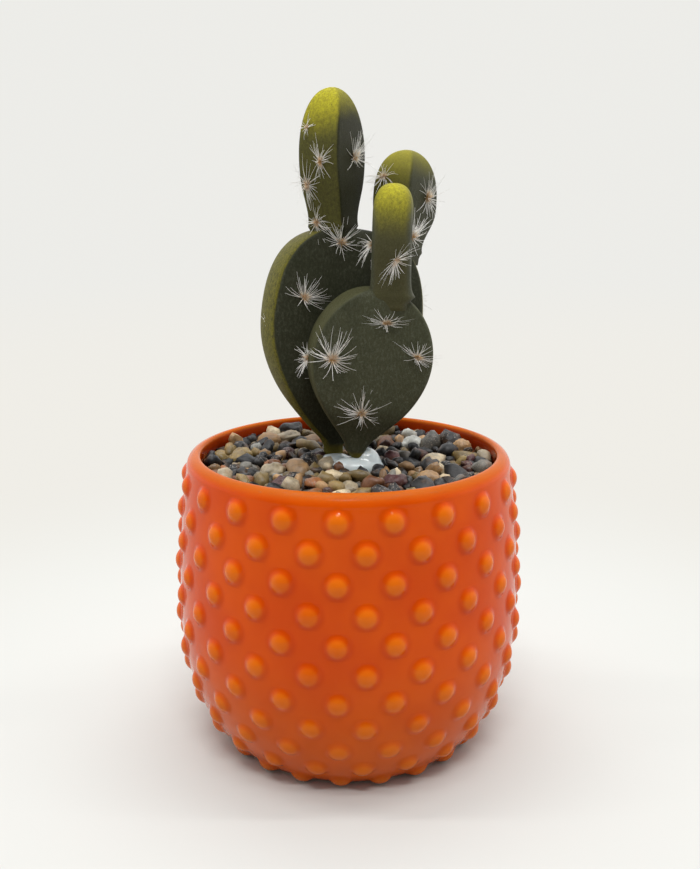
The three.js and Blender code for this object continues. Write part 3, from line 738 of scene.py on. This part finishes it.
# Each pad: where its foot stands, how it is turned about the vertical, tipped to the front and leaned
# to the right (degrees), its outline from the front, its outline from the side, and its paint. Then:
# flare is how far its root spreads, crease rounds its edges, and bulge swells its faces.
OLIVE, MOSS, LIME = (0.15, 0.135, 0.016), (0.09, 0.086, 0.02), (0.50, 0.45, 0.012)
PADS = {
    "rear_pad": dict(
        foot=(-5.2, 6.8, 102), turn=24, tip=-2, lean=6,
        width=54.4, height=72.2, widest=40.5, neck=3.5, taper=(0.03, 0.43), crown=0.69,
        thick=13.4, root=3.0, fills=20, rim=5, flare=0, crease=1.2, bulge=0.9,
        stem=(-5.4, 6.5), stem_radius=3.2,
        paint=dict(Face=(0.030, 0.031, 0.017), Rim=OLIVE, Tip=OLIVE,
                   Tip_starts=1.3, Tip_full=1.6, Rim_paint=1.0, Dust=0.3)),
    "tall_upper_pad": dict(
        foot=(-5.0, 9.4, 174.4), turn=66, tip=0, lean=-1,
        width=22.6, height=43.6, widest=22, neck=6.6, taper=(0.3, 0.6), crown=0.46,
        thick=13.8, root=6.0, fills=16, rim=19, flare=0.5, crease=1.0, bulge=0.4,
        paint=dict(Face=(0.022, 0.021, 0.008), Rim=MOSS, Tip=LIME,
                   Tip_starts=0.60, Tip_full=0.97, Rim_paint=1.0, Dust=0.25)),
    "rear_right_upper_pad": dict(
        foot=(18.6, 18, 165.4), turn=62, tip=0, lean=5,
        width=24, height=33.8, widest=17, neck=5.4, taper=(0.25, 0.55), crown=0.56,
        thick=13.4, root=4.6, fills=14, rim=15, flare=0.6, crease=1.2, bulge=0.4,
        paint=dict(Face=(0.036, 0.036, 0.016), Rim=MOSS, Tip=(0.30, 0.27, 0.012),
                   Tip_starts=0.55, Tip_full=1.05, Rim_paint=0.9, Dust=0.4)),
    "front_pad": dict(
        foot=(2.2, -4.1, 102), turn=11, tip=4, lean=8,
        width=39.8, height=54.6, widest=31.5, neck=3.0, taper=(0.14, 0.48), crown=0.53,
        thick=12, root=2.8, fills=17, rim=5, flare=0, crease=1.3, bulge=0.5,
        stem=(5.6, -3.5), stem_radius=2.7,
        paint=dict(Face=(0.058, 0.060, 0.033), Rim=(0.085, 0.085, 0.038), Tip=OLIVE,
                   Tip_starts=1.3, Tip_full=1.6, Rim_paint=0.7, Dust=0.5)),
    "front_upper_pad": dict(
        foot=(13.4, -7.6, 153.2), turn=84, tip=1.5, lean=0,
        width=18, height=35, widest=20, neck=5.0, taper=(0.3, 0.6), crown=0.6,
        thick=11.7, root=6.0, fills=14, rim=9, flare=1.5, crease=2.8, bulge=0.5,
        paint=dict(Face=(0.062, 0.062, 0.034), Rim=(0.08, 0.075, 0.034), Tip=LIME,
                   Tip_starts=0.5, Tip_full=1.05, Rim_paint=0.8, Dust=0.5))}

skin = skin_group()
for name, pad in PADS.items():
    made = bpy.data.objects.new("painted_" + name, pad_mesh(name + "_skin", pad))
    collection.objects.link(made)
    made.data.materials.append(painted_skin(name + "_paint", skin, **pad["paint"]))
    finish_piece(made, "pad_skin", name)


# ------------------------------------------------------------------ the tufts
# Tufts of pale nylon bristle, most of them some forty to sixty bristles with a short stubble at their
# foot, each set into a small hole in a pad. They splay out flat and uneven, and their feet are tan.

def tuft_tree():
    """Fans thin tapering bristles out of one point: long ones, and a short stubble round their foot."""
    tree, given = new_tree("bristle_tuft", [
        ("Bristles", "Int"), ("Length", "Float"), ("Lift", "Float"), ("Thickness", "Float"),
        ("Squeeze", "Float"), ("Seed", "Int")])

    def chance(low, high, shift):
        """A random number for each bristle."""
        node = put(tree, "FunctionNodeRandomValue", {"Seed": calc(tree, "ADD", given["Seed"], shift)})
        node.inputs[2].default_value, node.inputs[3].default_value = low, high
        return node.outputs[1]

    def fan(count, length, low, high, shift, thickness):
        """So many bent bristles of one kind; low and high limit how far they lift."""
        dots = put(tree, "GeometryNodePoints", {"Count": count, "Radius": 0.001})
        line = put(tree, "GeometryNodeCurvePrimitiveLine", {"Start": (0, 0, 0), "End": (0, 0, 1)})
        line = put(tree, "GeometryNodeResampleCurve", {"Curve": line.outputs[0], "Count": 5})
        around = put(tree, "ShaderNodeCombineXYZ", {2: chance(0, 6.2832, shift)})
        rise = times(tree, chance(low, high, shift + 1), given["Lift"])
        tilt = put(tree, "ShaderNodeCombineXYZ", {1: calc(tree, "SUBTRACT", math.pi / 2, rise)})
        turn = put(tree, "FunctionNodeRotateEuler", {0: tilt.outputs[0], 1: around.outputs[0]},
                   space="OBJECT")
        size = times(tree, chance(0.55, 1.12, shift + 2), length)
        hairs = put(tree, "GeometryNodeInstanceOnPoints", {
            "Points": dots.outputs[0], "Instance": line.outputs[0], "Rotation": turn.outputs[0],
            "Scale": put(tree, "ShaderNodeCombineXYZ", {0: size, 1: size, 2: size}).outputs[0]})
        hairs = put(tree, "GeometryNodeRealizeInstances", {"Geometry": hairs.outputs[0]})
        along = put(tree, "GeometryNodeSplineParameter").outputs["Factor"]
        kept = store(tree, hairs.outputs[0], "along", along)
        bend = put(tree, "FunctionNodeRandomValue", {0: (-0.25, -0.25, -0.28), 1: (0.25, 0.25, 0.12)},
                   data_type="FLOAT_VECTOR")
        curl = put(tree, "GeometryNodeFieldOnDomain", {0: bend.outputs[0]},
                   data_type="FLOAT_VECTOR", domain="CURVE")
        much = times(tree, times(tree, along, along), length)
        sag = put(tree, "ShaderNodeCombineXYZ", {1: times(tree, much, -0.3)})
        moved = vector(tree, "ADD", vector(tree, "SCALE", curl.outputs[0], much), sag.outputs[0])
        bent = put(tree, "GeometryNodeSetPosition", {"Geometry": kept, "Offset": moved})
        thin = times(tree, calc(tree, "SUBTRACT", 1, times(tree, along, 0.7)), thickness)
        outline = put(tree, "GeometryNodeCurvePrimitiveCircle", {"Resolution": 3, "Radius": 1.0})
        return put(tree, "GeometryNodeCurveToMesh", {
            "Curve": bent.outputs[0], "Profile Curve": outline.outputs[0], "Scale": thin,
            "Fill Caps": True}).outputs[0]

    long_ones = fan(given["Bristles"], given["Length"], 0.02, 1.0, 0, given["Thickness"])
    short_ones = fan(times(tree, given["Bristles"], 1.3), times(tree, given["Length"], 0.34),
                     0.3, 1.7, 20, times(tree, given["Thickness"], 1.25))
    marked = store(tree, short_ones, "along", times(tree, stored(tree, "along"), 0.3))
    both = put(tree, "GeometryNodeJoinGeometry")
    tree.links.new(long_ones, both.inputs[0])
    tree.links.new(marked, both.inputs[0])
    spot = put(tree, "GeometryNodeInputPosition").outputs[0]
    flat = put(tree, "ShaderNodeCombineXYZ", {0: 1.0, 1: given["Squeeze"], 2: 1.0})
    placed = put(tree, "GeometryNodeSetPosition", {
        "Geometry": both.outputs[0], "Position": vector(tree, "MULTIPLY", spot, flat.outputs[0])})
    close_tree(tree, placed.outputs[0], given)
    return tree


def nylon():
    """White bristle with a tan foot."""
    material, tree, shader = new_material("nylon_bristle")
    along = carried(tree, "along")
    place = place_on(tree)
    patch = noise(tree, place, 700, 2)
    foot = blend(tree, patch, (0.62, 0.34, 0.10, 1), (0.78, 0.55, 0.24, 1))
    shaft = blend(tree, patch, (0.92, 0.89, 0.82, 1), (0.98, 0.97, 0.95, 1))
    tree.links.new(blend(tree, ramp(tree, along, 0.10, 0.36), foot, shaft), shader.inputs["Base Color"])
    shader.inputs["Roughness"].default_value = 0.35
    return material


# Each tuft: its pad, how far across and up the pad it stands, the side it faces, its size, how far its
# bristles lift off the skin, how flat the fan is pressed, which way it runs, and how full it is.
TUFTS = [
    ("rear_pad", -6, 67, "front", 7.5, 0.9, 0.8, 0, 30),
    ("rear_pad", -17.5, 48.5, "front", 7.5, 0.8, 0.8, -20, 28),
    ("rear_pad", 7, 66, "front", 7, 0.9, 0.9, 0, 24),
    ("rear_pad", -7, 24, "front", 8, 0.8, 0.9, 0, 30),
    ("rear_pad", 0, 40, "left", 2.5, 0.9, 0.7, 90, 8),
    ("rear_pad", 0, 50, "right", 6, 0.9, 0.9, 90, 18),
    ("rear_pad", 12, 58, "back", 7.5, 0.8, 0.9, 0, 30),
    ("rear_pad", -10, 50, "back", 7.5, 0.8, 0.9, 0, 30),
    ("rear_pad", 3, 26, "back", 7.5, 0.8, 0.9, 0, 30),
    ("tall_upper_pad", 1, 22, "front", 7, 1.0, 0.9, 0, 32),
    ("tall_upper_pad", 1.2, 20.5, "left", 7, 0.7, 0.5, 90, 26),
    ("tall_upper_pad", -4.2, 13.5, "left", 8, 0.8, 0.5, 90, 30),
    ("tall_upper_pad", -2, 15, "back", 7.5, 0.9, 0.9, 0, 30),
    ("tall_upper_pad", 3, 29, "back", 7.5, 0.9, 0.9, 0, 30),
    ("tall_upper_pad", -2.6, 1.5, "left", 7, 0.8, 0.7, 90, 24),
    ("tall_upper_pad", -4.2, 31, "left", 4, 0.9, 0.6, 90, 12),
    ("rear_right_upper_pad", 2, 18.5, "front", 7.5, 1.0, 0.9, 60, 32),
    ("rear_right_upper_pad", -2, 22, "back", 7.5, 1.0, 0.9, 0, 30),
    ("rear_right_upper_pad", -3, 24, "left", 6, 1.0, 0.9, 0, 22),
    ("front_pad", -13.6, 31, "front", 8.2, 0.8, 0.95, 0, 38),
    ("front_pad", 2, 44.5, "front", 8, 0.7, 0.4, 0, 30),
    ("front_pad", 14, 34.5, "front", 8, 0.8, 0.5, -20, 32),
    ("front_pad", -1.2, 14, "front", 7.5, 0.8, 0.85, 0, 34),
    ("front_pad", 0, 29, "left", 6.5, 0.9, 0.7, 90, 26),
    ("front_pad", 8, 36, "back", 8, 0.8, 0.9, 0, 30),
    ("front_pad", -4, 20, "back", 8, 0.8, 0.9, 0, 30),
    ("front_upper_pad", 2.0, 12, "left", 8.5, 1.0, 0.35, 50, 40),
    ("front_upper_pad", -1, 19, "front", 7, 1.0, 0.9, 0, 30),
    ("front_upper_pad", 1, 16, "back", 6.5, 1.0, 0.9, 0, 22)]


def tuft_place(pad, across, up, side, roll):
    """Where a tuft is set into its pad's skin, facing straight out of it."""
    width, height, thick = pad_outlines(pad)
    facing = 1 if side in ("front", "right") else -1
    proud = 0.15
    if side in ("front", "back"):
        spot = Vector((across, up, facing * (float(np.interp(up, height, thick)) + proud)))
        way = Vector((0, 0, facing))
    else:
        rising = height[:int(np.argmax(height > pad["height"] - 2))]
        edge = [float(np.interp(h, rising, width[:len(rising)])) for h in (up - 1, up, up + 1)]
        spot = Vector((facing * (edge[1] + proud), up, across))
        way = Vector((facing * 2, edge[0] - edge[2], 0)).normalized()
    turn = way.to_track_quat("Z", "X" if abs(way.z) < 0.5 else "Y").to_matrix().to_4x4()
    local = Matrix.Translation(spot) @ turn @ Matrix.Rotation(math.radians(roll), 4, "Z")
    return Matrix.Scale(mm, 4) @ pad_frame(pad) @ local


bristle_fan = tuft_tree()
bristle_skin = nylon()
counts = {}
for number, (name, across, up, side, size, lift, squeeze, roll, fullness) in enumerate(TUFTS):
    counts[name] = counts.get(name, 0) + 1
    seat = bpy.data.meshes.new(f"{name}_seat_{counts[name]}")
    seat.from_pydata([(0, 0, 0)], [], [])
    one = shaped(
        f"{name}_bristles_{counts[name]}", seat, bristle_fan, bristles=int(fullness * 1.6),
        length=1.1 * size, lift=float(lift), thickness=0.13, squeeze=float(squeeze),
        seed=number * 7 + 3, material=bristle_skin)
    one.data.transform(tuft_place(PADS[name], across, up, side, roll))
    finish_piece(one, "bristles", f"{name}_tuft_{counts[name]}")


# ------------------------------------------------------------------ the studio
# A pale seamless floor in a white light tent, lit from above by a square of four lamps and, from the
# front, by a fifth. The tent's dim opening is in front too, where the camera stands a third of a metre
# off and looks slightly down.

TENT_WHITE = (0.846, 0.842, 0.81, 1)


def studio_floor():
    """Matt card that fades into a glow of the tent's own white with distance, so that no edge shows; the
    glow starts a few centimetres from the pot, so it also lightens the pot's shadow as painted light.
    """
    material, tree, shader = new_material("studio_floor")
    place = place_on(tree)
    card = blend(tree, noise(tree, place, 6, 2), (0.59, 0.60, 0.575, 1), (0.61, 0.62, 0.595, 1))
    tree.links.new(card, shader.inputs["Base Color"])
    shader.inputs["Roughness"].default_value = 1.0
    shader.inputs["Specular IOR Level"].default_value = 0.0
    # Painted light: from 3 cm out the floor partly glows in the tent's white, and fully beyond 35 cm. Near
    # the pot this lightens its shadow; far off it is an even backdrop.
    away = put(tree, "ShaderNodeVectorMath", {0: place}, operation="LENGTH").outputs["Value"]
    white = blend(tree, ramp(tree, away, 0.4, 2.0), (0.87, 0.852, 0.80, 1), TENT_WHITE)
    far = put(tree, "ShaderNodeEmission", {"Color": white})
    either = put(tree, "ShaderNodeMixShader", {
        0: ramp(tree, away, 0.03, 0.35), 1: shader.outputs[0], 2: far.outputs[0]})
    ending = next(node for node in tree.nodes if node.type == "OUTPUT_MATERIAL")
    tree.links.new(either.outputs[0], ending.inputs["Surface"])
    return material


disc = bpy.data.meshes.new("studio_floor")
reach, below, sides = 3, -0.0002, 96
corners = [(reach * math.cos(a), reach * math.sin(a), below)
           for a in np.linspace(0, 2 * math.pi, sides + 1)[:-1]]
disc.from_pydata(corners, [], [tuple(range(sides))])
disc.materials.append(studio_floor())
floor = bpy.data.objects.new("studio_floor", disc)
collection.objects.link(floor)

world = bpy.data.worlds.new("light_tent")
scene.world = world
world.use_nodes = True
sky = world.node_tree
sky.nodes.clear()
_, backward, _ = xyz_of(sky, put(sky, "ShaderNodeTexCoord").outputs["Generated"])
opening = ramp(sky, backward, -0.75, 0.0, 0.15, 1.2)
tent = put(sky, "ShaderNodeBackground", {"Color": (0.93, 0.94, 0.95, 1), "Strength": opening})
seen = put(sky, "ShaderNodeBackground", {"Color": TENT_WHITE, "Strength": 1.0})
either = put(sky, "ShaderNodeMixShader", {
    0: put(sky, "ShaderNodeLightPath").outputs["Is Camera Ray"], 1: tent.outputs[0], 2: seen.outputs[0]})
put(sky, "ShaderNodeOutputWorld", {0: either.outputs[0]})


def lamp(name, at, size, power):
    """A flat rectangular lamp, aimed at the plant."""
    light = bpy.data.lights.new(name, "AREA")
    light.shape, light.size, light.size_y = "RECTANGLE", *size
    light.energy = power
    holder = bpy.data.objects.new(name, light)
    holder.location = at
    holder.rotation_euler = (Vector((0, 0, 0.1)) - Vector(at)).to_track_quat("-Z", "Y").to_euler()
    collection.objects.link(holder)


lamp("top_lamp_front", (0, -0.8, 2.2), (1.7, 0.05), 8)
lamp("edge_strip", (0, -0.9, 1.6), (0.7, 0.05), 10)
lamp("top_lamp_left", (-0.9, 0, 2.2), (0.05, 1.4), 9)
lamp("top_lamp_right", (0.9, 0, 2.2), (0.05, 1.4), 9)
lamp("top_lamp_back", (0, 0.8, 2.2), (1.7, 0.05), 7)

camera = bpy.data.cameras.new("camera")
camera.lens = 40.93
camera.clip_start, camera.clip_end = 0.01, 20
viewer = bpy.data.objects.new("camera", camera)
viewer.location = (0, -0.32424, 0.18648)
viewer.rotation_euler = Euler((math.radians(76.03), 0, math.radians(-0.09)))
collection.objects.link(viewer)
scene.camera = viewer
scene.view_settings.view_transform = "Standard"
